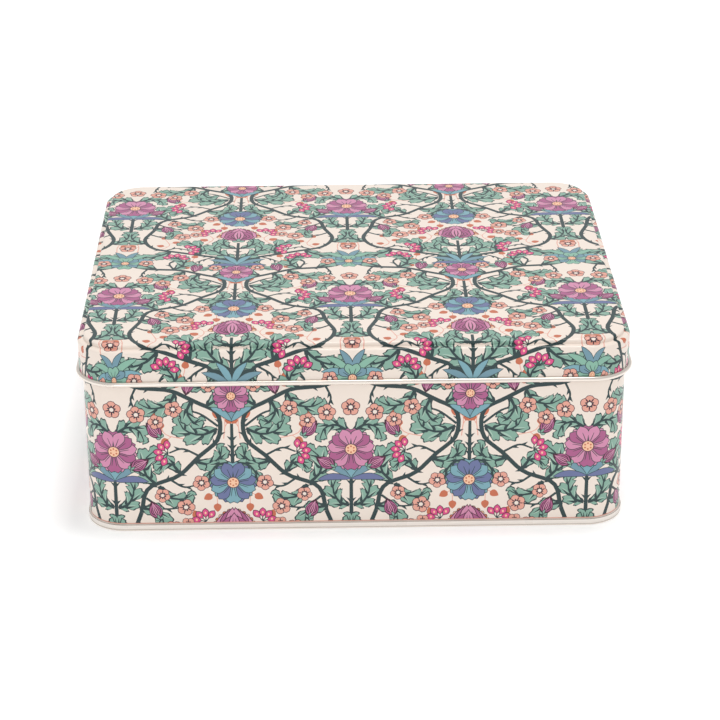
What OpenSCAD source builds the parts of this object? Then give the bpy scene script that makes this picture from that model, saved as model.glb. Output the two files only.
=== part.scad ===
// Rectangular printed tin with a hinged overlapping lid, sizes in millimetres.
// Origin at the centre of the footprint on the table plane. +Z is up and the front faces -Y.
// Each thin sheet piece is a section swept round a rounded rectangle.

/* [Box] */
// Length over the lid skirt, left to right
box_length = 200; // [150:1:260]
// Width over the lid skirt, front to back
box_width = 165.5; // [110:1:220]
// Height from the table to the top of the lid
box_height = 74.6; // [55:0.1:120]
// Outer corner radius of the lid skirt in plan
corner_r = 15; // [10:0.1:30]
// Thickness of the tinplate
sheet_t = 0.3; // [0.24:0.01:0.4]

/* [Lid] */
// Depth of the lid from its top to the bottom of the rolled edge
lid_depth = 15.4; // [12:0.1:24]
// Height of the raised panel above its ledge
panel_step = 1.8; // [1:0.1:3]
// Distance in plan from the skirt to the raised panel
panel_inset = 2.3; // [1.6:0.1:4]
// Radius where the skirt turns onto the ledge
shoulder_r = 1.0; // [0.6:0.05:1.3]
// Radius of the panel's upper edge
panel_edge_r = 0.7; // [0.5:0.05:0.95]
// Height of the rolled lower edge
curl_d = 1.9; // [1.5:0.05:2.4]
// How far the rolled edge stands out from the skirt
curl_out = 1.2; // [0.9:0.05:1.4]

/* [Closing dimples] */
// Distance of each dimple from the middle of the front
dimple_x = 59.3; // [30:0.1:65]
// Height of the dimple centre above the rolled edge
dimple_above = 1.9; // [1.7:0.05:4]
// Radius of a dimple on the skirt
dimple_r = 1.5; // [1:0.05:1.8]
// Depth a dimple is pressed inwards
dimple_depth = 0.3; // [0.15:0.01:0.35]

/* [Body] */
// Gap between the lid skirt and the body wall
lid_gap = 1.0; // [0.95:0.01:1.6]
// Height of the folded hem along the wall's top edge
hem_h = 4; // [2.5:0.1:7]
// Width of the lock seam down the inside of the back wall
seam_w = 5; // [3:0.1:8]

/* [Base] */
// Height of the seam that holds the base to the wall
rim_h = 2.8; // [2.2:0.05:4]
// How far the base seam stands out from the wall
rim_out = 0.75; // [0.6:0.05:1.2]
// Height of the base panel above the table
base_recess = 1.8; // [1:0.05:2]

/* [Hinges] */
// Distance of each hinge from the middle of the back
hinge_x = 52; // [25:0.5:56]
// Length of a hinge along the pin
hinge_len = 24; // [15:0.5:30]
// Thickness of a hinge leaf
leaf_t = 0.5; // [0.4:0.05:0.6]
// Height of the leaf's plate on the wall or skirt
leaf_h = 6.5; // [4:0.1:8]
// Radius of the hinge pin
pin_r = 0.7; // [0.6:0.01:0.75]
// Outer radius of a knuckle
knuckle_r = 1.35; // [1.3:0.01:1.5]
// Radial running clearance between pin and knuckle
pin_clearance = 0.05; // [0.02:0.01:0.09]
// Gap between neighbouring knuckles along the pin
knuckle_gap = 0.35; // [0.3:0.01:0.6]

/* [Hidden] */
$fn = 48;
// Corner centres of the plan, shared by every swept piece
cx = box_length / 2 - corner_r;
cy = box_width / 2 - corner_r;
// Radii below are measured from a corner centre
skirt_r = corner_r;
panel_r = corner_r - panel_inset;
wall_r = corner_r - sheet_t - lid_gap;
rim_r = wall_r + rim_out;
ledge_z = box_height - panel_step;
lid_z = box_height - lid_depth;
wall_top = ledge_z - sheet_t;
wall_foot = 0.6;
seam_play = 0.02;
curl_r = curl_d / 2;
roll_gap = 0.1;
curl_x = skirt_r + curl_out - curl_r;
dimple_z = lid_z + curl_d + dimple_above;
dimple_R = (dimple_r * dimple_r + dimple_depth * dimple_depth) / (2 * dimple_depth);
// Hinge axis: its knuckles clear the wall and hang just below the rolled edge
skirt_y = box_width / 2;
wall_y = skirt_y - sheet_t - lid_gap;
axis_y = wall_y + 0.35 + knuckle_r;
axis_z = lid_z - knuckle_r - 0.9;
bore_r = pin_r + pin_clearance;
mid_len = hinge_len * 0.4;
side_len = (hinge_len - mid_len) / 2 - knuckle_gap;

// Sweep a section round the plan; its x is the distance from a corner centre.
module swept() {
    for (q = [0:3]) {
        sx = (q == 0 || q == 3) ? 1 : -1;
        sy = (q < 2) ? 1 : -1;
        translate([sx * cx, sy * cy, 0]) rotate([0, 0, 90 * q])
            rotate_extrude(angle = 90) children();
    }
    for (s = [0:1]) {
        rotate([0, 0, 180 * s]) translate([cx, cy, 0])
            rotate([90, 0, 0]) linear_extrude(height = 2 * cy) children();
        rotate([0, 0, 90 + 180 * s]) translate([cy, cx, 0])
            rotate([90, 0, 0]) linear_extrude(height = 2 * cx) children();
    }
}

module band(x0, z0, x1, z1) {
    translate([x0, z0]) square([x1 - x0, z1 - z0]);
}

// Filled half section with a rounded upper corner.
module shoulder(x1, z0, z1, r) {
    band(0, z0, x1 - r, z1);
    band(0, z0, x1, z1 - r);
    translate([x1 - r, z1 - r]) circle(r = r);
}

module lid_section() {
    difference() {
        union() {
            shoulder(skirt_r, lid_z + curl_r, ledge_z, shoulder_r);
            shoulder(panel_r, lid_z + curl_r, box_height, panel_edge_r);
        }
        shoulder(skirt_r - sheet_t, lid_z, ledge_z - sheet_t, shoulder_r - sheet_t);
        shoulder(panel_r - sheet_t, lid_z, box_height - sheet_t, panel_edge_r - sheet_t);
    }
    // rolled edge, left open by a hair where the sheet's end meets the skirt again
    difference() {
        translate([curl_x, lid_z + curl_r]) circle(r = curl_r);
        translate([curl_x, lid_z + curl_r]) circle(r = curl_r - sheet_t);
        band(0, lid_z, skirt_r - sheet_t, lid_z + curl_d);
        band(skirt_r, lid_z + curl_r + 0.1, skirt_r + roll_gap, lid_z + curl_d + 0.1);
    }
    band(skirt_r - sheet_t, lid_z + 0.25, skirt_r, lid_z + curl_r + 0.1);
}

module lid() color([0.75, 0.83, 0.76]) {
    difference() {
        union() {
            swept() lid_section();
            translate([-cx, -cy, box_height - sheet_t]) cube([2 * cx, 2 * cy, sheet_t]);
            for (side = [-1, 1])
                dimple_ball(side, dimple_R + sheet_t, -sheet_t / 2, dimple_r + 1);
        }
        for (side = [-1, 1])
            dimple_ball(side, dimple_R, 1, dimple_r + 0.05);
    }
}

// Ball that shapes a closing dimple, cut off a little in front of the skirt and around the
// dimple, so that it leaves the rolled edge whole.
module dimple_ball(side, r, ahead, half) {
    intersection() {
        translate([side * dimple_x, -skirt_y + dimple_depth - dimple_R, dimple_z]) sphere(r = r);
        translate([side * dimple_x - half, -skirt_y - ahead, dimple_z - half])
            cube([2 * half, 2 + ahead, 2 * half]);
    }
}

module body_wall() color([0.75, 0.83, 0.76]) {
    swept() {
        band(wall_r - sheet_t, wall_foot, wall_r, wall_top);
        band(wall_r - 2 * sheet_t, wall_top - hem_h, wall_r, wall_top);
    }
    // folded lock seam down the middle of the back, inside
    translate([-seam_w / 2, wall_y - 3 * sheet_t, rim_h + 0.4])
        cube([seam_w, 2.5 * sheet_t, wall_top - hem_h - rim_h - 0.4]);
}

module base_plate() color([0.90, 0.87, 0.82]) {
    swept() {
        // outer fold of the double seam, with rounded edges and the line that its rollers leave
        difference() {
            union() {
                band(wall_r + seam_play, rim_out / 2, rim_r, rim_h - rim_out / 2);
                band(wall_r + seam_play, rim_h - rim_out / 2, wall_r + rim_out / 2, rim_h);
                translate([rim_r - rim_out / 2, rim_h - rim_out / 2]) circle(r = rim_out / 2 - seam_play);
                translate([rim_r - rim_out / 2, rim_out / 2]) circle(r = rim_out / 2);
            }
            translate([rim_r + 0.1, rim_h * 0.42]) circle(r = 0.25);
        }
        // turn under the wall's foot and the inner fold
        band(wall_r - 2 * sheet_t, 0, wall_r + rim_out / 2, wall_foot);
        band(wall_r - 2 * sheet_t, 0, wall_r - sheet_t - seam_play, rim_h);
        band(0, base_recess, wall_r - 1.5 * sheet_t, base_recess + sheet_t);
    }
    translate([-cx, -cy, base_recess]) cube([2 * cx, 2 * cy, sheet_t]);
}

module knuckle(x0, len) {
    translate([x0, axis_y, axis_z]) rotate([0, 90, 0]) cylinder(r = knuckle_r, h = len);
}

module bore() {
    translate([-hinge_len, axis_y, axis_z]) rotate([0, 90, 0])
        cylinder(r = bore_r, h = 2 * hinge_len);
}

// Leaf on the body wall: plate below, one knuckle in the middle.
module leaf_box() {
    difference() {
        union() {
            translate([-hinge_len / 2, wall_y, axis_z - knuckle_r - 0.4 - leaf_h])
                cube([hinge_len, leaf_t, leaf_h]);
            translate([-mid_len / 2, wall_y, axis_z - knuckle_r - 1])
                cube([mid_len, leaf_t, 1 + knuckle_r]);
            translate([-mid_len / 2, wall_y + 0.1, axis_z - 0.4])
                cube([mid_len, knuckle_r, 0.8]);
            knuckle(-mid_len / 2, mid_len);
        }
        bore();
    }
}

// Leaf on the lid skirt: plate above, joggled out over the rolled edge to two knuckles.
module leaf_lid() {
    out_y = axis_y + knuckle_r;
    low_z = axis_z + knuckle_r + 0.35;
    knee_z = lid_z + curl_d + 0.4;
    difference() {
        union() {
            translate([-hinge_len / 2, skirt_y, knee_z])
                cube([hinge_len, leaf_t, leaf_h]);
            translate([-hinge_len / 2, skirt_y, knee_z])
                cube([hinge_len, out_y - skirt_y, leaf_t]);
            translate([-hinge_len / 2, out_y - leaf_t, low_z])
                cube([hinge_len, leaf_t, knee_z + leaf_t - low_z]);
            for (s = [0, 1]) mirror([s, 0, 0]) {
                translate([hinge_len / 2 - side_len, out_y - leaf_t, axis_z])
                    cube([side_len, leaf_t, low_z - axis_z + 0.1]);
                knuckle(hinge_len / 2 - side_len, side_len);
            }
        }
        bore();
    }
}

module pin() {
    translate([-hinge_len / 2 - 0.3, axis_y, axis_z]) rotate([0, 90, 0])
        cylinder(r = pin_r, h = hinge_len + 0.6);
}

module hinge_leaf_box_left() color([0.78, 0.76, 0.72]) translate([-hinge_x, 0, 0]) leaf_box();
module hinge_leaf_box_right() color([0.78, 0.76, 0.72]) translate([hinge_x, 0, 0]) leaf_box();
module hinge_leaf_lid_left() color([0.78, 0.76, 0.72]) translate([-hinge_x, 0, 0]) leaf_lid();
module hinge_leaf_lid_right() color([0.78, 0.76, 0.72]) translate([hinge_x, 0, 0]) leaf_lid();
module hinge_pin_left() color([0.62, 0.61, 0.60]) translate([-hinge_x, 0, 0]) pin();
module hinge_pin_right() color([0.62, 0.61, 0.60]) translate([hinge_x, 0, 0]) pin();

body_wall();
base_plate();
lid();
hinge_leaf_box_left();
hinge_leaf_box_right();
hinge_leaf_lid_left();
hinge_leaf_lid_right();
hinge_pin_left();
hinge_pin_right();
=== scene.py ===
"""Looks of a rectangular printed tin with a hinged, overlapping lid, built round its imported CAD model.

The floral print is drawn as flat outlines in millimetres, cut into one sheet of non-overlapping
inks, and wrapped over the lid and round the wall as a thin printed skin. The metal under it,
the rolled edges, the base seam and the hinges are the CAD nodes with finishes of their own.
"""

import cmath
import math

import bpy
import numpy as np
from bpy.props import FloatProperty, FloatVectorProperty, PointerProperty
from mathutils import Matrix, Vector
from mathutils.geometry import delaunay_2d_cdt


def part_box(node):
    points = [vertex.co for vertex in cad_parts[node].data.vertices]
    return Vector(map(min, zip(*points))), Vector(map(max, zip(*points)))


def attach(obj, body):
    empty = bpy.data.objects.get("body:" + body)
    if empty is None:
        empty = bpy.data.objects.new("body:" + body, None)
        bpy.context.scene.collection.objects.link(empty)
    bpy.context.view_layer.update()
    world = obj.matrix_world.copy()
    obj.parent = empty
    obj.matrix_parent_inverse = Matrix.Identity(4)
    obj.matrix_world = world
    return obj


bl_info = {
    "name": "Printed tin",
    "version": (1, 0, 0),
    "blender": (4, 5, 0),
    "location": "View3D > Sidebar > Printed tin",
    "description": "Builds the printed skins, metal finishes and studio of a hinged tin",
    "category": "Object",
}

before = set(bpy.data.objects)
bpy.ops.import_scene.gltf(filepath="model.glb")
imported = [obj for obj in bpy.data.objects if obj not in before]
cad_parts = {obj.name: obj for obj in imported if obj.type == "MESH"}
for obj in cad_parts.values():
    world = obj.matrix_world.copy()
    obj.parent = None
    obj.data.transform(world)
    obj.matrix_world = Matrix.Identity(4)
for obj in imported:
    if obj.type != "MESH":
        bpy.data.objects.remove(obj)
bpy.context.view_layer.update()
MM = 0.001
SKIN = 0.04  # the print stands this far off the metal, so that the two never share a surface
TUCK = 0.15  # the lid's print goes this far down behind the top of the rolled edge
SLACK = 0.06  # outlines drop the points that matter less than this
NEARNESS = 1e-5  # points closer than this are one point when the sheet is cut
# where a side axis of the repeat and its zero height fall on the lid and on the wall
LID_AXIS_X, LID_START_Y = -0.9, -51
WALL_AXIS_X, WALL_START_Z = -1.6, 17.4
LID_LOW, LID_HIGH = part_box("lid")
WALL_LOW, WALL_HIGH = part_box("body_wall")

# ------------------------------------------------------------------ settings


def to_linear(hex_colour):
    """sRGB hex text to the linear colour that shaders take."""
    parts = [int(hex_colour[i:i + 2], 16) / 255 for i in (0, 2, 4)]
    return tuple(p / 12.92 if p <= 0.04045 else ((p + 0.055) / 1.055) ** 2.4 for p in parts)


def length(name, text, default):
    return FloatProperty(name=name, description=text, default=default * MM, unit="LENGTH", precision=5)


def angle(name, text, degrees):
    return FloatProperty(name=name, description=text, default=math.radians(degrees), unit="ROTATION")


def colour(name, text, hex_colour):
    return FloatVectorProperty(name=name, description=text, default=to_linear(hex_colour),
                               subtype="COLOR", size=3, min=0, max=1)


class TinSizes(bpy.types.PropertyGroup):
    """Sizes of the lid's section and of the print's repeat."""

    corner_r: length("Corner radius", "Outer radius of the lid skirt in plan", 15)
    curl_out: length("Rolled edge", "How far the rolled edge stands out from the skirt", 1.2)
    curl_d: length("Rolled edge height", "Height of the rolled edge", 1.9)
    panel_step: length("Panel step", "Height of the raised panel above its ledge", 1.8)
    panel_inset: length("Panel inset", "Distance in plan from the skirt to the panel", 2.3)
    shoulder_r: length("Shoulder radius", "Radius where the skirt turns onto the ledge", 1.0)
    panel_edge_r: length("Panel edge radius", "Radius of the panel's upper edge", 0.7)
    wall_corner_r: length("Wall corner radius", "Outer radius of the body wall in plan", 13.7)
    dimple_x: length("Dimple place", "Distance of a closing dimple from the middle of the front", 59.3)
    dimple_above: length("Dimple height", "Height of its centre above the rolled edge", 1.9)
    dimple_r: length("Dimple radius", "Radius of a dimple on the skirt", 1.5)
    dimple_depth: length("Dimple depth", "Depth that it is pressed in", 0.3)
    rim_h: length("Base seam height", "Height of the seam under the wall's print", 2.8)
    edge_line: length("Edge line", "Height of the printed line along the base seam", 0.3)
    print_top: length("Print top", "Height on the wall where the print stops under the lid", 66)
    repeat_w: length("Repeat width", "Width of one repeat of the print", 86.3)
    repeat_h: length("Repeat height", "Height of one repeat of the print", 91)


class InkColours(bpy.types.PropertyGroup):
    """Inks of the print, and the cream enamel it lies on."""

    ground: colour("Ground", "Cream enamel under the print", "ECDFD4")
    leaf: colour("Leaf", "Sea green of the lobed leaves", "84AA9A")
    leaf_light: colour("Leaf light", "Lights on the leaves", "A3C1B1")
    stem: colour("Stem", "Dark green of stems, veins and outlines", "2B3F41")
    blue: colour("Blue", "Dusty blue of strap leaves and daisies", "7AA6B2")
    violet: colour("Violet", "Violet blue of strap leaves and daisies", "69729B")
    teal: colour("Teal", "Grey blue of tufts and daisies", "7195A4")
    mint: colour("Mint", "Pale green of tufts and daisies", "86B4A1")
    plum: colour("Plum", "Dark plum of flower outlines", "472334")
    mauve: colour("Mauve", "Petals of tulips and daisies", "AA5C88")
    pink: colour("Pink", "Light edges of the petals", "D08BAC")
    hot_pink: colour("Hot pink", "Small bright seeds", "DA4E88")
    peach: colour("Peach", "Flower centres", "F2C3A2")
    salmon: colour("Salmon", "Rosettes and fine stems", "E2A392")
    rust: colour("Rust", "Small leaves", "C56E50")


class StudioSettings(bpy.types.PropertyGroup):
    """Light strengths and the camera's place, as a turn round the tin."""

    world: FloatProperty(name="Room light", description="Strength of the white room", default=0.72)
    overhead: FloatProperty(name="Overhead", description="Power of the softbox above", default=4.6,
                            unit="POWER")
    front: FloatProperty(name="Front", description="Power of the softbox in front", default=0.9,
                         unit="POWER")
    floor_glow: FloatProperty(name="Floor glow", description="Light that the backlit floor gives",
                              default=0.2)
    lens: FloatProperty(name="Lens", description="Focal length", default=118.0, unit="CAMERA")
    away: length("Distance", "From the camera to the middle of the tin", 930.4)
    aim: length("Aim height", "Height of the point that the camera turns round", 38)
    rise: angle("Rise", "Camera's angle above the floor", 24.29)
    turn: angle("Turn", "Camera's angle to the left of the front", 0.81)
    roll: angle("Roll", "Camera's tilt about its own axis", 0.39)


INKS = list(InkColours.__annotations__)

# ------------------------------------------------------------------ drawing the print
# Points on the sheet are complex numbers in millimetres. A drawing is a list of (ink, outline),
# and what is drawn later covers what was drawn before.


def heading(degrees):
    """Unit step for a compass heading: 0 is up the sheet, 90 is to the right."""
    return cmath.rect(1, math.radians(90 - degrees))


def smooth(points, steps):
    """Catmull-Rom curve through the points, steps samples in all."""
    pts = [complex(*p) if isinstance(p, tuple) else p for p in points]
    if len(pts) == 2:
        return [pts[0] + (pts[1] - pts[0]) * k / (steps - 1) for k in range(steps)]
    ext = [2 * pts[0] - pts[1]] + pts + [2 * pts[-1] - pts[-2]]
    out = []
    for k in range(steps):
        x = k / (steps - 1) * (len(pts) - 1)
        i = min(int(x), len(pts) - 2)
        t = x - i
        a, b, c, d = ext[i:i + 4]
        out.append(0.5 * (2 * b + (c - a) * t + (2 * a - 5 * b + 4 * c - d) * t * t
                          + (3 * b - a - 3 * c + d) * t ** 3))
    return out


def sides(spine):
    """Unit normals to the left of a curve."""
    out = []
    for i in range(len(spine)):
        step = spine[min(i + 1, len(spine) - 1)] - spine[max(i - 1, 0)]
        out.append(1j * step / abs(step))
    return out


def ribbon(points, start, end, steps):
    """Strip along a curve; its width runs from start to end."""
    spine = smooth(points, steps)
    left, right = [], []
    for i, (p, n) in enumerate(zip(spine, sides(spine))):
        t = i / (steps - 1)
        half = (start + (end - start) * t) / 2
        left.append(p + n * half)
        right.append(p - n * half)
    return left + right[::-1]


def blade(points, width, steps, peak):
    """Pointed leaf or petal along a curve, widest at peak."""
    spine = smooth(points, steps)
    left, right = [], []
    for i, (p, n) in enumerate(zip(spine, sides(spine))):
        t = i / (steps - 1)
        u = t ** (math.log(0.5) / math.log(peak))
        half = width / 2 * math.sin(math.pi * u) ** 0.75 if 0 < t < 1 else 0
        left.append(p + n * half)
        if 0 < t < 1:
            right.append(p - n * half)
    return left + right[::-1]


def grown(outline, by):
    """Outline moved outwards, for the dark line round a shape."""
    if area(outline) < 0:
        outline = outline[::-1]
    out = []
    n = len(outline)
    for i, p in enumerate(outline):
        a = p - outline[i - 1]
        b = outline[(i + 1) % n] - p
        a = a / abs(a) if abs(a) else 1
        b = b / abs(b) if abs(b) else 1
        bisector = -1j * (a + b)
        size = abs(bisector)
        out.append(p + (bisector / size * by * min(2 / size, 1.7) if size > 0.2 else a * by))
    return out


def area(outline):
    return sum((p.conjugate() * q).imag for p, q in zip(outline, outline[1:] + outline[:1])) / 2


def oval(at, wide, high, steps):
    return [at + complex(wide / 2 * math.cos(a), high / 2 * math.sin(a))
            for a in (2 * math.pi * k / steps for k in range(steps))]


def lined(ink, line_ink, outline, line):
    return [(line_ink, grown(outline, line)), (ink, outline)]


def lobed_outline(spine, width, lobes, depth, lean, extra):
    """Edge of a lobed leaf; extra makes it bigger all round."""
    normals = sides(spine)
    steps = len(spine) - 1
    half_edges = []
    for side in (1, -1):
        edge = []
        for i, (p, n) in enumerate(zip(spine, normals)):
            t = i / steps
            envelope = math.sin(math.pi * t ** 0.78) ** 0.6 if 0 < t < 1 else 0
            phase = (lobes * t + (0.25 if side > 0 else -0.2)) % 1
            lobe = math.sin(math.pi * phase) ** 0.55 if phase > 0 else 0
            tooth = 0.09 * math.cos(6 * math.pi * phase)
            half = width / 2 * envelope * (1 - depth + depth * lobe - tooth) + extra
            edge.append(p + side * n * half - 1j * n * half * lean)
        half_edges.append(edge)
    return half_edges[0] + half_edges[1][::-1]


def lobed_leaf(points, width, lobes):
    """Deeply lobed leaf with a dark line, a light band on each lobe and dark veins."""
    depth, lean = 0.8, 0.62
    spine = smooth(points, lobes * 12 + 1)
    normals = sides(spine)
    out = [("stem", lobed_outline(spine, width, lobes, depth, lean, 0.46)),
           ("leaf", lobed_outline(spine, width, lobes, depth, lean, 0))]
    steps = len(spine) - 1
    for k in range(lobes):
        for side in (1, -1):
            offset = 0.25 if side > 0 else -0.2
            t = (k + 0.5 - offset) / lobes
            if not 0.08 < t < 0.92:
                continue
            i = round(t * steps)
            root = spine[max(i - 7, 0)]
            n = normals[i] * side
            ahead = -1j * normals[i]
            reach = width / 2 * math.sin(math.pi * t ** 0.78) ** 0.6
            tip = spine[i] + (n + ahead * lean) * reach * 0.82
            middle = (root + tip) / 2 - ahead * reach * 0.14
            shift = ahead * reach * 0.2
            out.append(("leaf_light", blade([root + shift + n * 0.3, middle + shift, tip + shift * 0.3],
                                            reach * 0.26, 6, 0.6)))
            back = -ahead * reach * 0.24
            out.append(("stem", blade([root + n * 0.2, middle + back, tip + back * 1.1 - n * reach * 0.22],
                                      0.42, 5, 0.35)))
            out.append(("stem", blade([root, middle, tip], 0.8, 6, 0.25)))
    out.append(("stem", ribbon([spine[0], spine[steps // 3], spine[2 * steps // 3], spine[-3]],
                               1.25, 0.3, 8)))
    return out


def strap_leaf(at, turn, size, ink, bend, width):
    """Narrow arching leaf with a fine dark line."""
    step = heading(turn)
    spine = [at, at + step * size * 0.55, at + step * size + step * 1j * size * bend]
    outline = blade(spine, width, 9, 0.5)
    return [("stem", grown(outline, 0.24)), (ink, outline)]


def thorned_stem(points, start, end, thorns):
    """Stem with small thorns on alternate sides."""
    spine = smooth(points, 14)
    normals = sides(spine)
    out = [("stem", ribbon(points, start, end, 14))]
    for k in range(thorns):
        i = 1 + (k + 1) * 11 // (thorns + 1)
        side = 1 if k % 2 else -1
        ahead = -1j * normals[i]
        root = spine[i]
        out.append(("stem", [root - ahead * 0.9, root + ahead,
                             root + normals[i] * side * (start * 0.5 + 1.15) + ahead * 1.8]))
    return out


def petal_fan(at, turn, size, spread, count, width, inks, line, stripes, curl, edge):
    """Fan of petals from one root, the outer ones behind."""
    order = sorted(range(count), key=lambda k: -abs(k - (count - 1) / 2))
    out = []
    for k in order:
        side = (k - (count - 1) / 2) / max((count - 1) / 2, 1)
        angle = turn + side * spread
        step = heading(angle)
        reach = size * (1 - 0.1 * abs(side))
        bow = -1j * step * reach * (0.16 + curl) * side
        spine = [at, at + step * reach * 0.5 + bow, at + step * reach - bow * curl * 4]
        outline = blade(spine, width, 7, 0.55)
        out += lined(inks[k % len(inks)], line, outline, edge)
        for s in range(stripes):
            offset = -1j * step * width * 0.19 * (s * 2 - stripes + 1)
            out.append((line, blade([at + step * reach * 0.08, at + step * reach * 0.5 + bow + offset,
                                     at + step * reach * 0.84 + offset * 0.5], 0.5, 5, 0.3)))
    return out


def tulip(at, turn, size):
    """Full striped tulip with rust and peach stamens behind one shoulder."""
    step = heading(turn)
    out = []
    for k in range(7):
        place = at + heading(turn + 8 + 9 * k) * size * (0.95 - 0.045 * k)
        out += lined("rust" if k % 2 else "peach", "plum", oval(place, 1.5, 1.5, 7), 0.2)
    out += petal_fan(at, turn, size * 1.05, 17, 6, size * 0.34, ["mauve", "pink"], "plum", 2, 0.1, 0.3)
    out += petal_fan(at, turn, size * 0.86, 12, 3, size * 0.3, ["mauve", "pink"], "plum", 2, 0.12, 0.3)
    return out + petal_fan(at - step * 0.5, turn, size * 0.2, 70, 3, size * 0.12, ["leaf"], "stem", 0,
                           0, 0.28)


def bud(at, turn, size):
    """Closed bud of three striped petals that meet at the tip, on a short green cup."""
    step, cross = heading(turn), heading(turn + 90)
    wide = size * 0.6
    each = wide * 0.42
    egg = blade([at, at + step * size * 0.5, at + step * size * 1.03], wide, 11, 0.42)
    out = [("plum", grown(egg, 0.34))]
    for side, ink in ((-1, "mauve"), (1, "mauve"), (0, "pink")):
        belly = at + step * size * 0.42 + cross * wide * 0.33 * side
        tip = at + step * size * (0.97 - 0.1 * abs(side)) + cross * wide * 0.16 * side
        out += lined(ink, "plum", blade([at + step * size * 0.03, belly, tip], each, 8, 0.5), 0.2)
        for shift in (-cross * each * 0.22, cross * each * 0.22):
            out.append(("plum", blade([at + step * size * 0.1, belly + shift, tip - step * size * 0.12],
                                      0.36, 6, 0.35)))
    return out + petal_fan(at - step * 0.4, turn, size * 0.26, 62, 3, 0.8, ["leaf"], "stem", 0, 0, 0.2)


def rosette(at, size, turn):
    """Small five-petalled flower with dark marks and a dark ring round a cream eye."""
    out = []
    petals = [at + heading(turn + 72 * k) * size * 0.27 for k in range(5)]
    for petal in petals:
        out.append(("plum", oval(petal, size * 0.54, size * 0.54, 9)))
    for petal in petals:
        out.append(("salmon", oval(petal, size * 0.46, size * 0.46, 9)))
    for k in range(5):
        out.append(("plum", blade([at, at + heading(turn + 36 + 72 * k) * size * 0.4], 0.5, 5, 0.5)))
        mark = at + heading(turn + 72 * k) * size * 0.27
        out.append(("stem", blade([at, mark], 0.75, 5, 0.6)))
    return out + [("plum", oval(at, size * 0.36, size * 0.36, 10)),
                  ("ground", oval(at, size * 0.25, size * 0.25, 8))]


def rust_leaf(at, turn, size):
    outline = blade([at, at + heading(turn) * size * 0.5, at + heading(turn) * size], size * 0.8, 7, 0.38)
    return [("rust", outline)]


def sprig(points, leaves, size=3.6):
    """Hair-thin stem with small rust leaves; each leaf is (place along the stem, heading)."""
    spine = smooth(points, 13)
    out = [("salmon", ribbon(points, 0.36, 0.28, 9))]
    for place, turn in leaves:
        root = spine[round(place * 12)]
        out.append(("salmon", ribbon([root, root + heading(turn) * 1.6], 0.3, 0.26, 2)))
        out += rust_leaf(root + heading(turn) * 1.5, turn, size)
    return out


def daisy(at, turn, size, fills, petals):
    """Open flower seen from the front: pointed petals in turns of colour round a dotted heart."""
    out = []
    for k in range(petals):
        step = heading(turn + 360 * k / petals)
        petal = blade([at + step * size * 0.08, at + step * size * 0.3, at + step * size * 0.5],
                      size * 0.25, 8, 0.62)
        out += lined(fills[k % len(fills)], "stem", petal, 0.26)
        out.append(("stem", ribbon([at + step * size * 0.14, at + step * size * 0.34], 0.32, 0.18, 2)))
    out += lined("peach", "plum", oval(at, size * 0.24, size * 0.24, 12), 0.3)
    for k in range(6):
        out.append(("rust", oval(at + heading(60 * k) * size * 0.07, size * 0.045, size * 0.045, 6)))
    return out


def seed_spray(at, turn, size):
    """Fan of small bright seeds with pale hearts."""
    out = []
    for k in range(5):
        step = heading(turn + 38 * (k - 2))
        out.append(("stem", ribbon([at, at + step * size * 0.5], 0.4, 0.3, 2)))
        seed = blade([at + step * size * 0.42, at + step * size * 0.8, at + step * size * 1.2],
                     size * 0.5, 8, 0.55)
        out += lined("hot_pink", "plum", seed, 0.28)
        out.append(("peach", oval(at + step * size * 0.8, size * 0.18, size * 0.24, 8)))
    return out


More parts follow.
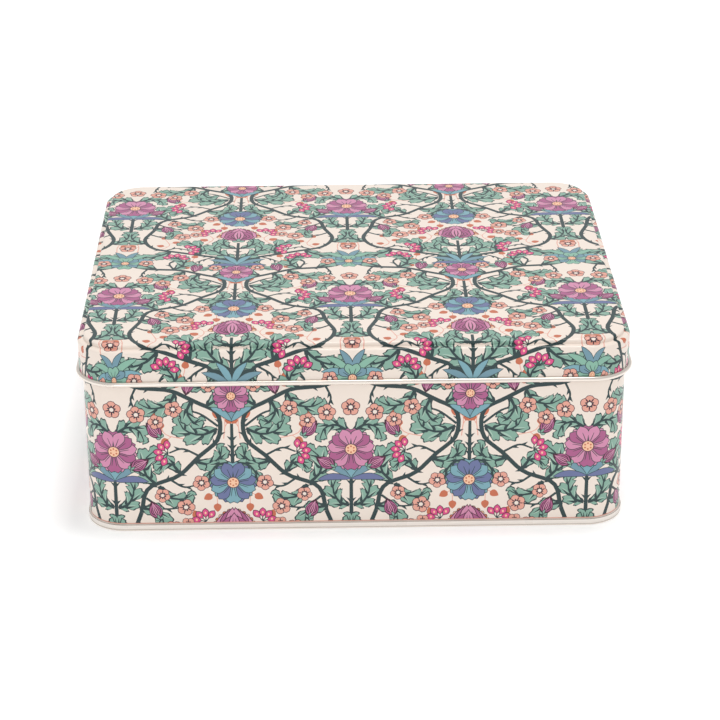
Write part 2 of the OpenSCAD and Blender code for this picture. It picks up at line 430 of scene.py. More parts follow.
def half_repeat(axis):
    """One half of the repeat, a waving vine between two upright flower stems at 0 and at axis."""
    out = []
    # fine rust sprigs behind everything
    out += sprig([(4, 8), (7, 3), (6, -5)], [(0.3, 100), (0.6, 230), (0.8, 120), (1.0, 180)])
    out += sprig([(14, -27), (10, -20), (13, -14)], [(0.3, 60), (0.6, 300), (1.0, 20)])
    out += sprig([(17, 20), (24, 22), (27, 28)], [(0.3, 130), (0.6, 20), (1.0, 30)])
    out += sprig([(axis - 4, -33), (39, -27), (axis - 2, -22)], [(0.4, 60), (0.7, 320), (1.0, 20)])
    out += sprig([(3, 20), (2.4, 27), (4.2, 33)], [(0.3, 330), (0.6, 60), (1.0, 350)])
    out += sprig([(30, -30), (27, -26), (28.4, -21)], [(0.3, 70), (0.7, 300), (1.0, 20)], 3.2)
    out += sprig([(14, 42), (18, 45), (17, 50)], [(0.3, 130), (0.6, 20), (1.0, 350)], 3.4)
    # the vine, and the short stems that leave it
    for points, thorns in (([(0, -46), (6, -40), (15, -36.5), (24, -33)], 4),
                           ([(24, -33), (33, -29), (37, -20), (34, -10)], 4),
                           ([(34, -10), (31, 0), (20, 5), (12, 13)], 4),
                           ([(12, 13), (5, 20), (5, 30), (13, 35)], 4),
                           ([(13, 35), (22, 39.5), (34, 41), (axis, 45.5)], 4)):
        out += thorned_stem(points, 1.6, 1.6, thorns)
    for points in ([(35.4, -14), (30, -17.5), (23, -17)], [(32, -4), (26, -8.4), (18.6, -8)],
                   [(23, 3.6), (18, 0.4), (12.6, 1.4)], [(12, 13), (18, 16), (23, 14.4)],
                   [(4.9, 25), (12, 30.4), (20, 31.6)], [(34, 41), (36, 36), (34.6, 31.6)],
                   [(24, 40), (26, 46), (24, 50)], [(9, -38.6), (14, -42), (14.6, -45)],
                   [(28, -31), (24, -29), (19.6, -31)]):
        out += thorned_stem(points, 0.9, 0.6, 2)
    for low, high in ((-46, -24), (4, 26)):
        out += thorned_stem([(0, low), (0, (low + high) / 2), (0, high)], 1.5, 1.1, 4)
    out += thorned_stem([(axis, -14), (axis, 2), (axis, 16)], 1.5, 1.1, 3)
    # lobed leaves along the vine and on the upright stems
    for points, width, lobes in (
            ([(15, -36.5), (14.4, -30), (18, -25), (24, -24)], 8.6, 4),
            ([(26, -32.5), (31, -37), (37, -38.5), (41, -35)], 7.6, 3),
            ([(36.6, -24), (40, -22), (42.6, -17), (41, -11)], 6.4, 3),
            ([(28, 1.6), (32, 6), (31.6, 12), (27, 16.4)], 8.6, 4),
            ([(14, 11), (8.6, 9.6), (4.6, 12.6), (3.6, 18)], 6.6, 3),
            ([(5.2, 24), (11, 21.6), (17, 23.6), (19.6, 29)], 8.6, 4),
            ([(9, 33.2), (4.6, 36.4), (4.6, 42), (9, 45)], 8, 4),
            ([(20, 38.4), (23, 33.6), (29, 32.4), (34, 35)], 7.6, 4),
            ([(24, 40), (20.4, 45), (22.4, 50.6), (28, 53)], 7.6, 4),
            ([(0.8, -40), (6, -36), (9.6, -30), (7.4, -22.6)], 8, 4),
            ([(19.4, 6), (22, 9.8), (25.4, 9.6), (28.4, 6.6)], 6, 3),
            ([(27, 1), (24, -3.6), (18.6, -4.6), (14, -2.2)], 6, 3),
            ([(34.6, -8), (29, -9.4), (26, -14), (28.6, -19)], 6.4, 3),
            ([(14, 35.6), (16, 31), (13.6, 26.6), (9.6, 28)], 5.6, 3),
            ([(31, 41), (36, 44.6), (39.4, 49), (37, 54)], 6.4, 3),
            ([(0.8, 10), (5.4, 9.4), (8.4, 5.6), (8.8, 0.6)], 4.8, 3),
            ([(8, -39), (6.6, -44.6), (9.6, -49.6), (14.6, -50.6)], 6, 3),
            ([(0.8, -30), (4.6, -27.4), (6, -22), (3.4, -18)], 4.8, 3),
            ([(axis - 0.8, -8), (38.6, -6.4), (36.4, -1), (38.4, 4.4)], 6.6, 4),
            ([(axis - 0.8, 22), (38, 25), (33.6, 23.6), (31.6, 18.4)], 6.8, 4)):
        out += lobed_leaf(points, width, lobes)
    # tufts of strap leaves at the feet of the upright stems
    for root, tuft in ((complex(0, -47), ((20, 11, "blue"), (52, 12, "teal"), (84, 11, "violet"))),
                       (complex(axis, -43), ((-14, 11, "teal"), (-42, 12, "mint"), (-72, 11, "blue"))),
                       (complex(axis, 3), ((-18, 11, "blue"), (-50, 12, "teal"), (-82, 12, "violet"))),
                       (complex(0, 27), ((14, 9, "teal"), (44, 9, "blue")))):
        for turn, size, ink in tuft:
            out += strap_leaf(root, turn, size, ink, 0.16 if turn < 0 else -0.16, 2.4)
    # flowers, seeds and buds
    out += tulip(complex(0, -22), 0, 13)
    out += daisy(complex(0, 2), 9, 17, ("blue", "violet"), 12)
    out += daisy(complex(axis, 15), 9, 17, ("mauve", "pink"), 12)
    out += daisy(complex(axis, -44), 18, 12, ("teal", "mint"), 10)
    out += daisy(complex(0, 37), 9, 13, ("pink", "mauve"), 10)
    for x, y, turn in ((23.4, 14.2, 80), (19.8, -31, 285), (24, 51, 350), (10.4, -14, 40)):
        out += seed_spray(complex(x, y), turn, 4.4)
    for x, y, turn in ((14.8, -46, 170), (27.6, -12.4, 20), (26, 21, 40), (37, 8, 300)):
        out += bud(complex(x, y), turn, 7)
    for x, y, size in ((22.4, -17, 6.8), (17.6, -8, 6.6), (11.6, 2, 6.2), (21, 32, 6.4), (34.4, 30, 6.6),
                       (27.4, 27, 5.8), (axis, -29, 6.4), (axis, 32, 6.6), (26, -3, 5.6), (17, -15, 5.2),
                       (35, -44, 5.8), (8, -49.5, 5.4)):
        out += rosette(complex(x, y), size, x * 40)
    return out


def thinned(outline, slack):
    """Outline without the points that lie within slack of the line between their neighbours."""
    out = [outline[0]]
    for here, after in zip(outline[1:], outline[2:] + outline[:1]):
        across = after - out[-1]
        if abs(across) < 1e-9 or abs((across.conjugate() * (here - out[-1])).imag) > slack * abs(across):
            out.append(here)
    return out if len(out) > 2 else outline


def covered(centres, outline):
    """Which of the centres, sorted by x, lie inside an outline, by its winding number there."""
    points = np.array([(p.real, p.imag) for p in outline])
    low, high = points.min(axis=0), points.max(axis=0)
    first, last = np.searchsorted(centres[:, 0], [low[0], high[0]])
    near = np.arange(first, last)[(centres[first:last, 1] > low[1]) & (centres[first:last, 1] < high[1])]
    x, y = centres[near].T
    ax, ay = points.T[:, :, None]
    bx, by = np.roll(points, -1, axis=0).T[:, :, None]
    left_of = (bx - ax) * (y - ay) - (x - ax) * (by - ay)
    risen = ((ay <= y) & (by > y) & (left_of > 0)).sum(axis=0)
    fallen = ((ay > y) & (by <= y) & (left_of < 0)).sum(axis=0)
    return near[risen != fallen]


def spread(a, b, low, high, step):
    """Whole numbers k for which a + k * step .. b + k * step can reach into low .. high."""
    return range(math.floor((low - b) / step), math.ceil((high - a) / step) + 1)


class Sheet:
    """Flat sheet of triangles in millimetres, each with one ink."""

    def __init__(self, points, triangles, inks):
        self.points, self.triangles, self.inks = points, triangles, inks

    def keep(self, chosen):
        self.triangles, self.inks = self.triangles[chosen], self.inks[chosen]

    def centres(self):
        return self.points[self.triangles].mean(axis=1)

    def weld(self):
        """Joins points that lie within a thousandth of a micron and drops unused ones."""
        used, numbered = np.unique(self.triangles, return_inverse=True)
        _, first, same = np.unique(np.round(self.points[used], 6), axis=0, return_index=True,
                                   return_inverse=True)
        self.points = self.points[used][first]
        self.triangles = same.ravel()[numbered].reshape(-1, 3)
        t = self.triangles
        self.keep((t[:, 0] != t[:, 1]) & (t[:, 1] != t[:, 2]) & (t[:, 2] != t[:, 0]))

    def cut(self, field, where=None):
        """Splits triangles along the line on which field is nought, only those where says."""
        value = field(self.points)
        value[np.abs(value) < 1e-6] = 0
        side = np.sign(value)[self.triangles]
        crossing = (side.min(axis=1) < 0) & (side.max(axis=1) > 0)
        if where is not None:
            crossing &= where
        if not crossing.any():
            return
        new_triangles, new_inks = [self.triangles[~crossing]], [self.inks[~crossing]]
        split, split_side, split_inks = self.triangles[crossing], side[crossing], self.inks[crossing]
        # turn each triangle so that its lone corner comes first
        zeros = (split_side == 0).any(axis=1)
        lone = np.where(zeros, np.argmin(np.abs(split_side), axis=1),
                        np.argmax(split_side * -np.sign(split_side.sum(axis=1))[:, None], axis=1))
        turned = split[np.arange(len(split))[:, None], (lone[:, None] + [0, 1, 2]) % 3]
        points = [self.points]
        count = len(self.points)

        def crossings(p, q):
            nonlocal count
            low, high = np.minimum(p, q), np.maximum(p, q)
            share = (value[low] / (value[low] - value[high]))[:, None]
            points.append(self.points[low] * (1 - share) + self.points[high] * share)
            count += len(p)
            return np.arange(count - len(p), count)

        a, b, c = turned[zeros].T
        m = crossings(b, c)
        new_triangles += [np.column_stack([a, b, m]), np.column_stack([a, m, c])]
        new_inks += [split_inks[zeros]] * 2
        a, b, c = turned[~zeros].T
        m, n = crossings(a, b), crossings(a, c)
        new_triangles += [np.column_stack([a, m, n]), np.column_stack([m, b, c]), np.column_stack([m, c, n])]
        new_inks += [split_inks[~zeros]] * 3
        self.points = np.concatenate(points)
        self.triangles = np.concatenate(new_triangles)
        self.inks = np.concatenate(new_inks)


def printed_cell(half_w, rise):
    """Half of one repeat, cut into triangles that carry the topmost ink.

    It comes back with its width and height, and its two mirror axes at its left and right.
    """
    low, high = complex(0, -rise / 2), complex(half_w, rise / 2)
    shapes = []
    for ink, outline in half_repeat(half_w):
        outline = thinned(outline, SLACK)
        for flipped in (outline, [-p.conjugate() for p in outline]):
            xs, ys = [p.real for p in flipped], [p.imag for p in flipped]
            for i in spread(min(xs), max(xs), low.real, high.real, 2 * half_w):
                for j in spread(min(ys), max(ys), low.imag, high.imag, rise):
                    move = complex(2 * half_w * i, rise * j)
                    if (max(xs) + move.real > low.real and min(xs) + move.real < high.real
                            and max(ys) + move.imag > low.imag and min(ys) + move.imag < high.imag):
                        shapes.append((ink, [p + move for p in flipped]))
    border = [low, complex(high.real, low.imag), high, complex(low.real, high.imag)]
    points, edges = [], []
    for outline in [border] + [outline for _, outline in shapes]:
        first = len(points)
        points += [(p.real, p.imag) for p in outline]
        edges += [(i, i + 1) for i in range(first, len(points) - 1)] + [(len(points) - 1, first)]
    sheet = inked(points, edges, low, high, shapes)
    # only the edges at which the ink changes are needed, so the sheet is made again from them
    pairs = np.sort(np.concatenate([sheet.triangles[:, [0, 1]], sheet.triangles[:, [1, 2]],
                                    sheet.triangles[:, [2, 0]]]), axis=1)
    inks = np.tile(sheet.inks, 3)
    edges, which, times = np.unique(pairs, axis=0, return_inverse=True, return_counts=True)
    which = which.ravel()
    least, most = np.full(len(edges), len(INKS)), np.full(len(edges), -1)
    np.minimum.at(least, which, inks)
    np.maximum.at(most, which, inks)
    edges = edges[(least != most) | (times == 1)]
    return inked(sheet.points.tolist(), edges.tolist(), low, high, shapes), half_w, rise


def inked(points, edges, low, high, shapes):
    """Sheet of triangles between the edges, each with the ink of the topmost shape there."""
    used = sorted({i for edge in edges for i in edge})
    place = {old: new for new, old in enumerate(used)}
    flat, _, triangles, *_ = delaunay_2d_cdt([Vector(points[i]) for i in used],
                                             [(place[i], place[j]) for i, j in edges], [], 0,
                                             NEARNESS, False)
    sheet = Sheet(np.array([tuple(p) for p in flat]), np.array(triangles), np.zeros(len(triangles), int))
    (ax, ay), (bx, by), (cx, cy) = sheet.points[sheet.triangles].transpose(1, 2, 0)
    sheet.keep((bx - ax) * (cy - ay) - (by - ay) * (cx - ax) > 1e-7)
    x, y = sheet.centres().T
    sheet.keep((x > low.real) & (x < high.real) & (y > low.imag) & (y < high.imag))
    sheet.keep(np.argsort(sheet.centres()[:, 0]))
    centres = sheet.centres()
    for ink, outline in shapes:
        sheet.inks[covered(centres, outline)] = INKS.index(ink)
    return sheet


def laid_out(cell, low, high, axis_x, start_y):
    """The cell set out over the rectangle from low to high, each second one mirrored.

    axis_x is a side axis of the repeat, and start_y the height of its zero.
    """
    one, half_w, rise = cell
    points, triangles, inks = [], [], []
    for i in spread(0, half_w, low.real - axis_x, high.real - axis_x, half_w):
        for j in spread(-rise / 2, rise / 2, low.imag - start_y, high.imag - start_y, rise):
            x, y = one.points.T
            turned = one.triangles
            if i % 2 == 0:
                x, turned = half_w - x, turned[:, ::-1]
            triangles.append(turned + len(one.points) * len(points))
            points.append(np.column_stack([x + axis_x + i * half_w, y + start_y + j * rise]))
            inks.append(one.inks)
    sheet = Sheet(np.concatenate(points), np.concatenate(triangles), np.concatenate(inks))
    x, y = sheet.centres().T
    spare = 8
    sheet.keep((x > low.real - spare) & (x < high.real + spare)
               & (y > low.imag - spare) & (y < high.imag + spare))
    sheet.weld()
    return sheet


def off_line(axis, at):
    """Signed distance from the line on which one coordinate is at."""
    return lambda points: points[:, axis] - at


# ------------------------------------------------------------------ wrapping the print


def lid_section(sizes):
    """Section of the lid's outside from a corner centre outwards: rows of radius, height, normal."""
    skirt = sizes.corner_r / MM + SKIN
    panel = skirt - sizes.panel_inset / MM
    top = LID_HIGH[2] / MM + SKIN
    ledge = top - sizes.panel_step / MM
    foot = LID_LOW[2] / MM + sizes.curl_d / MM - TUCK
    edge = sizes.panel_edge_r / MM + SKIN
    shoulder = sizes.shoulder_r / MM + SKIN
    rows = [(0, top, 90)]
    for k in range(5):
        a = math.radians(90 - 22.5 * k)
        rows.append((panel - edge + edge * math.cos(a), top - edge + edge * math.sin(a), 90 - 22.5 * k))
    fillet = 0.25
    rows.append((panel, ledge + fillet, 0))
    rows.append((panel + fillet * 0.3, ledge + fillet * 0.3, 45))
    rows.append((panel + fillet, ledge, 90))
    for k in range(6):
        a = math.radians(90 - 18 * k)
        rows.append((skirt - shoulder + shoulder * math.cos(a),
                     ledge - shoulder + shoulder * math.sin(a), 90 - 18 * k))
    rows.append((skirt, (ledge + foot) / 2, 0))
    rows.append((skirt, foot, 0))
    return np.array(rows)


def wrap(name, sheet, positions, normals, chart, materials):
    """Makes the mesh of a printed skin from its cut sheet and where each of its points lies."""
    mesh = bpy.data.meshes.new(name)
    mesh.from_pydata((positions * MM).tolist(), [], sheet.triangles.tolist())
    mesh.polygons.foreach_set("material_index", sheet.inks.astype(np.int32))
    mesh.polygons.foreach_set("use_smooth", np.ones(len(sheet.triangles), bool))
    layer = mesh.uv_layers.new(name="OFBake")
    layer.data.foreach_set("uv", chart[sheet.triangles.ravel()].astype(np.float32).ravel())
    for material in materials:
        mesh.materials.append(material)
    mesh.update()
    mesh.normals_split_custom_set_from_vertices(normals.tolist())
    skin = bpy.data.objects.new(name, mesh)
    bpy.context.scene.collection.objects.link(skin)
    return skin


def arcs_for_corners(sheet, core, reach):
    """Cuts the corner squares into a grid and then into fans, so that they bend round smoothly."""
    grid, steps = 2.5, 15
    for axis in (0, 1):
        for side in (-1, 1):
            sheet.cut(off_line(axis, side * core[axis]))
    for k in range(1, int(reach / grid)):
        for axis in (0, 1):
            for side in (-1, 1):
                in_corner = (np.abs(sheet.centres()) > core).all(axis=1)
                sheet.cut(off_line(axis, side * (core[axis] + grid * k)), in_corner)
    for corner in ((1, 1), (1, -1), (-1, 1), (-1, -1)):
        for k in range(1, steps):
            angle = math.pi / 2 * k / steps
            ray = np.array([math.sin(angle), -math.cos(angle)])
            in_corner = (sheet.centres() * corner > core).all(axis=1)
            sheet.cut(lambda points: (points * corner - core) @ ray, in_corner)


def rings_for_dimple(sheet, place, radius):
    """Cuts the sheet finely round a closing dimple."""
    rings = 5
    for k in range(1, rings + 1):
        for axis in (0, 1):
            close = np.hypot(*(sheet.centres() - place).T) < 1.5 * radius
            sheet.cut(off_line(axis, place[axis] + (k - 3) * 0.4 * radius), close)
        close = np.hypot(*(sheet.centres() - place).T) < 2.5 * radius
        sheet.cut(lambda points: np.hypot(*(points - place).T) - radius * k / rings, close)


def lid_skin(sizes, cell, materials):
    """The lid's print: the sheet is laid over the panel and drawn down all round the skirt."""
    outside = (sizes.curl_out + sizes.corner_r) / MM
    core = np.array([LID_HIGH[0] / MM - outside, -LID_LOW[1] / MM - outside])
    section = lid_section(sizes)
    along = np.concatenate([[0], np.cumsum(np.hypot(*np.diff(section[:, :2], axis=0).T))])
    high = complex(*(core + along[-1]))
    sheet = laid_out(cell, -high, high, LID_AXIS_X, LID_START_Y)

    def away(points):
        return points - np.clip(points, -core, core)

    arcs_for_corners(sheet, core, along[-1])
    for radius in along[1:]:
        sheet.cut(lambda points: np.hypot(*away(points).T) - radius)
    sheet.keep(np.hypot(*away(sheet.centres()).T) < along[-1])
    dimple_r, dimple_depth = sizes.dimple_r / MM, sizes.dimple_depth / MM
    dimple_y = -core[1] - along[-1] + sizes.dimple_above / MM + TUCK
    dimples = [np.array([side * sizes.dimple_x / MM, dimple_y]) for side in (-1, 1)]
    for dimple in dimples:
        rings_for_dimple(sheet, dimple, dimple_r)
    sheet.weld()
    flat = sheet.points
    offset = away(flat)
    distance = np.hypot(*offset.T)
    ahead = offset / np.maximum(distance, 1e-9)[:, None]
    radius, height, tilt = [np.interp(distance, along, column)[:, None] for column in section.T]
    tilt = np.radians(tilt)
    positions = np.hstack([flat - offset + ahead * radius, height])
    normals = np.hstack([ahead * np.cos(tilt), np.sin(tilt)])
    for dimple in dimples:
        off_centre = (flat - dimple) / dimple_r
        inside = np.hypot(*off_centre.T) < 1
        off_centre = off_centre[inside]
        positions[inside, 1] += dimple_depth * (1 - (off_centre ** 2).sum(axis=1))
        normals[np.ix_(inside, (0, 2))] -= 2 * dimple_depth / dimple_r * off_centre
    normals /= np.linalg.norm(normals, axis=1)[:, None]
    chart = 0.01 + (flat + [high.real, high.imag]) / (2.04 * high.real)
    return wrap("lid_print", sheet, positions, normals, chart, materials)


def wall_skin(sizes, cell, materials):
    """The wall's print: the sheet goes once round, and its ends meet at the back."""
    corner = sizes.wall_corner_r / MM
    core_x = WALL_HIGH[0] / MM - corner
    core_y = (WALL_HIGH[1] - WALL_LOW[1]) / 2 / MM - corner
    arc = math.pi / 2 * corner
    # lengths round the wall from the middle of the back, going left as seen from the front
    marks = np.cumsum([0, core_x, arc, 2 * core_y, arc, 2 * core_x, arc, 2 * core_y, arc, core_x])
    total = marks[-1]
    low_z, high_z = sizes.rim_h / MM + SKIN, sizes.print_top / MM
    line_z = low_z + sizes.edge_line / MM
    sheet = laid_out(cell, complex(0, low_z), complex(total, high_z), total / 2 + WALL_AXIS_X, WALL_START_Z)
    for z in (low_z, line_z, high_z):
        sheet.cut(off_line(1, z))
    steps = 14
    for x in [0, total] + [marks[first] + arc * k / steps for first in (1, 3, 5, 7)
                           for k in range(steps + 1)]:
        sheet.cut(off_line(0, x))
    x, z = sheet.centres().T
    sheet.inks[z < line_z] = INKS.index("salmon")
    sheet.keep((x > 0) & (x < total) & (z > low_z) & (z < high_z))
    sheet.weld()
    s, z = sheet.points.T
    # turn follows the wall's outward normal, from straight back, through the left side, to the front
    turn = np.interp(s, marks, np.radians([90, 90, 180, 180, 270, 270, 360, 360, 450, 450]))
    outward = np.column_stack([np.cos(turn), np.sin(turn)])
    centres_x = [0, -core_x, -core_x, -core_x, -core_x, core_x, core_x, core_x, core_x, 0]
    centres_y = [core_y, core_y, core_y, -core_y, -core_y, -core_y, -core_y, core_y, core_y, core_y]
    plan = np.column_stack([np.interp(s, marks, centres_x), np.interp(s, marks, centres_y)])
    plan += outward * (corner + SKIN)
    positions = np.column_stack([plan, z])
    normals = np.column_stack([outward, np.zeros(len(s))])
    chart = np.column_stack([s / total, (z - low_z) / (high_z - low_z)]) * 0.98 + 0.01
    return wrap("wall_print", sheet, positions, normals, chart, materials)


# ------------------------------------------------------------------ finishes


def add(tree, kind, inputs=(), **settings):
    """Adds a node, sets its settings, and sets or links its inputs."""
    node = tree.nodes.new(kind)
    for key, value in settings.items():
        setattr(node, key, value)
    for key, value in dict(inputs).items():
        if isinstance(value, bpy.types.NodeSocket):
            tree.links.new(value, node.inputs[key])
        else:
            node.inputs[key].default_value = value
    return node


def new_material(name):
    material = bpy.data.materials.new(name)
    material.use_nodes = True
    material.node_tree.nodes.clear()
    return material, material.node_tree


def ink_on_tin(name, ink_colour):
    """Litho ink under clear varnish on tinplate: flat colour, a satin sheen that varies a little,
    and the faint waviness of rolled sheet."""
    material, tree = new_material("litho_ink_" + name)
    place = add(tree, "ShaderNodeTexCoord").outputs["Object"]
    flow = add(tree, "ShaderNodeTexNoise", {"Vector": place, "Scale": 55, "Detail": 3})
    sheen = add(tree, "ShaderNodeMapRange", {"Value": flow.outputs["Fac"], "From Min": 0.3,
                                             "From Max": 0.7, "To Min": 0.30, "To Max": 0.40})
    grain = add(tree, "ShaderNodeTexNoise", {"Vector": place, "Scale": 900, "Detail": 2})
    waves = add(tree, "ShaderNodeTexNoise", {"Vector": place, "Scale": 24, "Detail": 1})
    fine = add(tree, "ShaderNodeBump", {"Height": grain.outputs["Fac"], "Strength": 0.05,
                                        "Distance": 0.0002})
    broad = add(tree, "ShaderNodeBump", {"Height": waves.outputs["Fac"], "Strength": 0.12,
                                         "Distance": 0.002, "Normal": fine.outputs["Normal"]})
    shader = add(tree, "ShaderNodeBsdfPrincipled", {
        "Base Color": (*ink_colour, 1), "Roughness": sheen.outputs["Result"],
        "Normal": broad.outputs["Normal"], "Specular IOR Level": 0.2, "Coat Weight": 0.3,
        "Coat Roughness": 0.08})
    add(tree, "ShaderNodeOutputMaterial", {"Surface": shader.outputs["BSDF"]})
    return material


def bare_metal(name, hex_colour, low, high, scratch_scale):
    """Bright tinplate or steel: soft mirror with cloudy roughness and fine drawing scratches."""
    material, tree = new_material(name)
    place = add(tree, "ShaderNodeTexCoord").outputs["Object"]
    cloud = add(tree, "ShaderNodeTexNoise", {"Vector": place, "Scale": 90, "Detail": 4})
    rough = add(tree, "ShaderNodeMapRange", {"Value": cloud.outputs["Fac"], "From Min": 0.3,
                                             "From Max": 0.7, "To Min": low, "To Max": high})
    stretch = add(tree, "ShaderNodeMapping", {"Vector": place, "Scale": (1, 1, 12)})
    scratch = add(tree, "ShaderNodeTexNoise", {"Vector": stretch.outputs["Vector"],
                                               "Scale": scratch_scale, "Detail": 3})
    bump = add(tree, "ShaderNodeBump", {"Height": scratch.outputs["Fac"], "Strength": 0.02,
                                        "Distance": 0.0001})
    shader = add(tree, "ShaderNodeBsdfPrincipled", {
        "Base Color": (*to_linear(hex_colour), 1), "Metallic": 1.0,
        "Roughness": rough.outputs["Result"], "Normal": bump.outputs["Normal"]})
    add(tree, "ShaderNodeOutputMaterial", {"Surface": shader.outputs["BSDF"]})
    return material


def cream_enamel(name, hex_colour, shade_colour, shade_heights):
    """Cream roller-coated enamel on the base: glossy, with dark lines of painted shade at the heights given,
    where the seam is folded."""
    material, tree = new_material(name)
    place = add(tree, "ShaderNodeTexCoord").outputs["Object"]
    cloud = add(tree, "ShaderNodeTexNoise", {"Vector": place, "Scale": 40, "Detail": 5})
    rough = add(tree, "ShaderNodeMapRange", {"Value": cloud.outputs["Fac"], "From Min": 0.3,
                                             "From Max": 0.7, "To Min": 0.24, "To Max": 0.38})
    height = add(tree, "ShaderNodeSeparateXYZ", {"Vector": place}).outputs["Z"]
    # thin bands at the given heights are painted darker, as the shade in the folds of the seam: painted
    # shade
    marks = [add(tree, "ShaderNodeMath", {0: height, 1: line, 2: 0.12 * MM}, operation="COMPARE")
             for line in shade_heights]
    groove_shade = add(tree, "ShaderNodeMath", {0: marks[0].outputs["Value"], 1: marks[1].outputs["Value"]},
               operation="MAXIMUM").outputs["Value"]
    # the darker colour mixed in on those bands is painted shade, not dirt
    shade = add(tree, "ShaderNodeMix", {"Factor": groove_shade, "A": (*to_linear(hex_colour), 1),
                                          "B": (*to_linear(shade_colour), 1)},
                data_type="RGBA")
    shader = add(tree, "ShaderNodeBsdfPrincipled", {
        "Base Color": shade.outputs["Result"], "Roughness": rough.outputs["Result"], "Coat Weight": 0.4,
        "Coat Roughness": 0.12})
    add(tree, "ShaderNodeOutputMaterial", {"Surface": shader.outputs["BSDF"]})
    return material


def finish(nodes, material):
    for node in nodes:
        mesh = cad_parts[node].data
        mesh.materials.clear()
        mesh.materials.append(material)


# ------------------------------------------------------------------ operators


def add_print(context, make, body):
    """Draws the print, wraps it round one body and lets it ride on that."""
    sizes, inks = context.scene.tin_sizes, context.scene.tin_inks
    materials = [bpy.data.materials.get("litho_ink_" + name) or ink_on_tin(name, getattr(inks, name))
                 for name in INKS]
    cell = printed_cell(sizes.repeat_w / MM / 2, sizes.repeat_h / MM)
    skin = make(sizes, cell, materials)
    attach(skin, body)


class TIN_OT_lid_print(bpy.types.Operator):
    """Wrap the floral print over the lid"""

    bl_idname = "tin.lid_print"
    bl_label = "Lid print"

    def execute(self, context):
        add_print(context, lid_skin, "lid")
        return {"FINISHED"}


class TIN_OT_wall_print(bpy.types.Operator):
    """Wrap the floral print round the wall"""

    bl_idname = "tin.wall_print"
    bl_label = "Wall print"

    def execute(self, context):
        add_print(context, wall_skin, "box")
        return {"FINISHED"}


class TIN_OT_tinplate(bpy.types.Operator):
    """Finish the lid and the wall as bright tinplate"""

    bl_idname = "tin.tinplate"
    bl_label = "Tinplate"

    def execute(self, context):
        tinplate = bare_metal("bright_tinplate", "E6DDD4", 0.26, 0.34, 300)
        finish(("lid", "body_wall"), tinplate)
        return {"FINISHED"}


class TIN_OT_base(bpy.types.Operator):
    """Finish the base and its seam in cream enamel"""

    bl_idname = "tin.base"
    bl_label = "Base enamel"

    def execute(self, context):
        seam = context.scene.tin_sizes.rim_h
        # the second colour and the two heights paint the shade in the seam's folds as two dark lines
        finish(("base_plate",), cream_enamel("cream_enamel", "F1E9E1", "A89A8E", (0.93 * seam, 0.25 * seam)))
        return {"FINISHED"}


class TIN_OT_hinges(bpy.types.Operator):
    """Finish the hinge leaves and their pins in steel"""

    bl_idname = "tin.hinges"
    bl_label = "Hinge steel"

    def execute(self, context):
        nodes = sorted(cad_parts)
        finish([node for node in nodes if node.startswith("hinge_leaf")],
               bare_metal("tinned_hinge_steel", "CFC9C0", 0.25, 0.4, 900))
        finish([node for node in nodes if node.startswith("hinge_pin")],
               bare_metal("drawn_steel_wire", "A9A6A2", 0.2, 0.32, 1200))
        return {"FINISHED"}


def area_light(name, at, target, size, power, light_colour):
    data = bpy.data.lights.new(name, "AREA")
    data.shape = "RECTANGLE"
    data.size, data.size_y = size
    data.energy = power
    data.color = light_colour
    lamp = bpy.data.objects.new(name, data)
    lamp.location = at
    lamp.rotation_euler = (Vector(target) - Vector(at)).to_track_quat("-Z", "Y").to_euler()
    bpy.context.scene.collection.objects.link(lamp)


def pale_floor(glow):
    half = 4.0
    mesh = bpy.data.meshes.new("floor")
    mesh.from_pydata([(-half, -half, 0), (half, -half, 0), (half, half, 0), (-half, half, 0)],
                     [], [(0, 1, 2, 3)])
    floor = bpy.data.objects.new("floor", mesh)
    bpy.context.scene.collection.objects.link(floor)
    material, tree = new_material("pale_floor")
    shader = add(tree, "ShaderNodeBsdfPrincipled", {
        "Base Color": (1, 1, 1, 1), "Roughness": 0.8, "Emission Color": (1, 1, 1, 1),
        "Emission Strength": glow})
    add(tree, "ShaderNodeOutputMaterial", {"Surface": shader.outputs["BSDF"]})
    mesh.materials.append(material)


def aimed_camera(studio):
    """Camera with a slight shift, as if the picture had been cropped off its centre."""
    data = bpy.data.cameras.new("camera")
    data.sensor_width = 36
    data.lens = studio.lens
    data.shift_x = 0.0118
    data.shift_y = -0.0236
    data.dof.use_dof = False
    camera = bpy.data.objects.new("camera", data)
    back = Vector((0, -studio.away * math.cos(studio.rise), studio.away * math.sin(studio.rise)))
    back.rotate(Matrix.Rotation(-studio.turn, 3, "Z"))
    camera.location = Vector((0, 0, studio.aim)) + back
    look = (-back).to_track_quat("-Z", "Y").to_matrix() @ Matrix.Rotation(-studio.roll, 3, "Z")
    camera.rotation_euler = look.to_euler()
    bpy.context.scene.collection.objects.link(camera)
    return camera


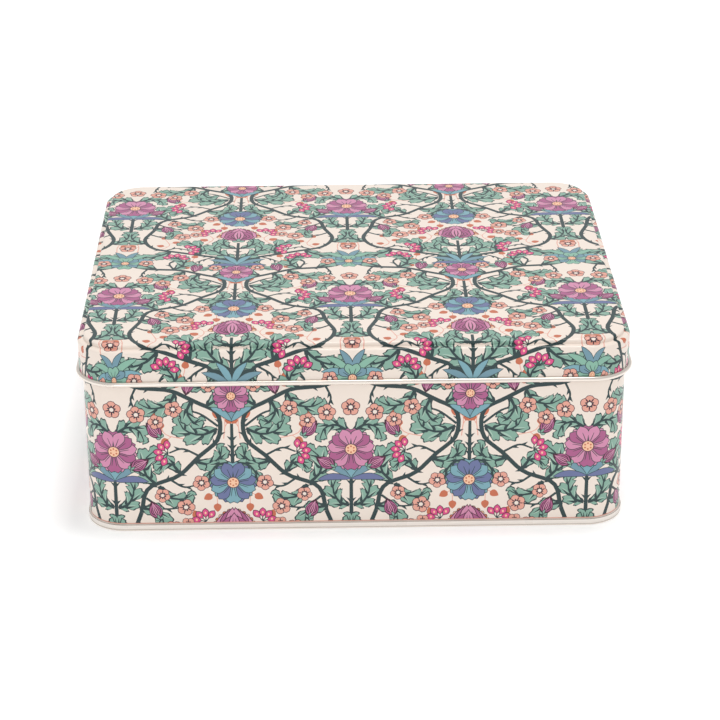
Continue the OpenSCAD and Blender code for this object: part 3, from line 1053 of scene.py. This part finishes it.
class TIN_OT_studio(bpy.types.Operator):
    """Set the pale floor, the soft lights and the camera"""

    bl_idname = "tin.studio"
    bl_label = "Studio"

    def execute(self, context):
        scene, studio = context.scene, context.scene.tin_studio
        pale_floor(studio.floor_glow)
        world = bpy.data.worlds.new("studio")
        world.use_nodes = True
        background = world.node_tree.nodes["Background"]
        background.inputs["Color"].default_value = (1, 1, 1, 1)
        background.inputs["Strength"].default_value = studio.world
        scene.world = world
        scene.view_settings.view_transform = "Standard"
        target = (0, 0, studio.aim)
        area_light("overhead", (0.1, 0, 1.1), target, (0.3, 0.25), studio.overhead, (1, 0.99, 0.97))
        area_light("front", (-0.25, -1.2, 0.32), target, (0.14, 0.1), studio.front, (1, 1, 1))
        scene.camera = aimed_camera(studio)
        return {"FINISHED"}


class TIN_PT_panel(bpy.types.Panel):
    """Lists the tin's steps, sizes, inks and studio"""

    bl_idname = "TIN_PT_panel"
    bl_label = "Printed tin"
    bl_space_type = "VIEW_3D"
    bl_region_type = "UI"
    bl_category = "Printed tin"

    def draw(self, context):
        for operator in OPERATORS:
            self.layout.operator(operator.bl_idname)
        for group in (context.scene.tin_sizes, context.scene.tin_inks, context.scene.tin_studio):
            for name in group.__annotations__:
                self.layout.prop(group, name)


OPERATORS = (TIN_OT_lid_print, TIN_OT_wall_print, TIN_OT_tinplate, TIN_OT_base, TIN_OT_hinges,
             TIN_OT_studio)
CLASSES = (TinSizes, InkColours, StudioSettings, *OPERATORS, TIN_PT_panel)


def register():
    for one in CLASSES:
        bpy.utils.register_class(one)
    bpy.types.Scene.tin_sizes = PointerProperty(type=TinSizes)
    bpy.types.Scene.tin_inks = PointerProperty(type=InkColours)
    bpy.types.Scene.tin_studio = PointerProperty(type=StudioSettings)


def unregister():
    del bpy.types.Scene.tin_studio
    del bpy.types.Scene.tin_inks
    del bpy.types.Scene.tin_sizes
    for one in reversed(CLASSES):
        bpy.utils.unregister_class(one)


def main():
    register()
    bpy.ops.tin.lid_print()
    bpy.ops.tin.wall_print()
    bpy.ops.tin.tinplate()
    bpy.ops.tin.base()
    bpy.ops.tin.hinges()
    bpy.ops.tin.studio()


if __name__ == "__main__":
    main()
